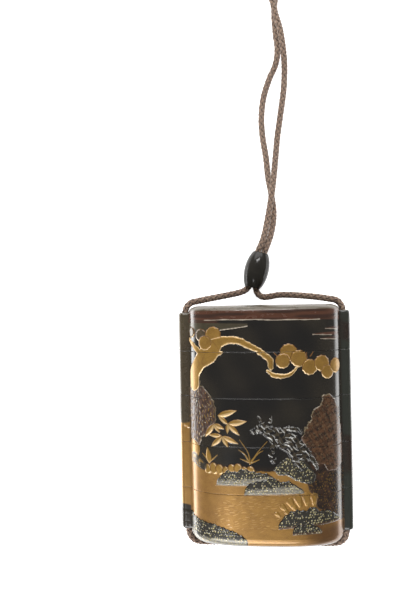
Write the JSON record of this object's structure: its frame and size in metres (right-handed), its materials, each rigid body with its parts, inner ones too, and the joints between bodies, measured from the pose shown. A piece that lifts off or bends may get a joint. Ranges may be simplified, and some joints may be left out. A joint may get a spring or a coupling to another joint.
{
  "type": "inro case",
  "caption": "Flat oval lacquered case of stacked compartments with side ribs, threaded on one braided cord with a sliding bead and a hanging loop.",
  "frame": {"origin": "under the middle of the case as it lies on its back, on the surface that it lies on", "axes": "+Y towards the lid's end, +Z out of the decorated front, +X to the right of the front"},
  "size_m": [0.0638, 0.2321, 0.0237],
  "materials": {
    "lid_lacquer": "polished black lacquer with gold and brown decoration",
    "case_lacquer": "polished black lacquer with gold decoration",
    "gold_lacquer": "polished gold lacquer with dark rocks",
    "bead_stone": "polished dark stone",
    "cord_silk": "braided silk, matt"
  },
  "bodies": {
    "root": {"lid": "lid_lacquer", "case_1": "case_lacquer", "case_2": "case_lacquer", "case_3": "case_lacquer", "case_4": "gold_lacquer", "bead": "bead_stone", "cord": "cord_silk"}
  },
  "joints": []
}
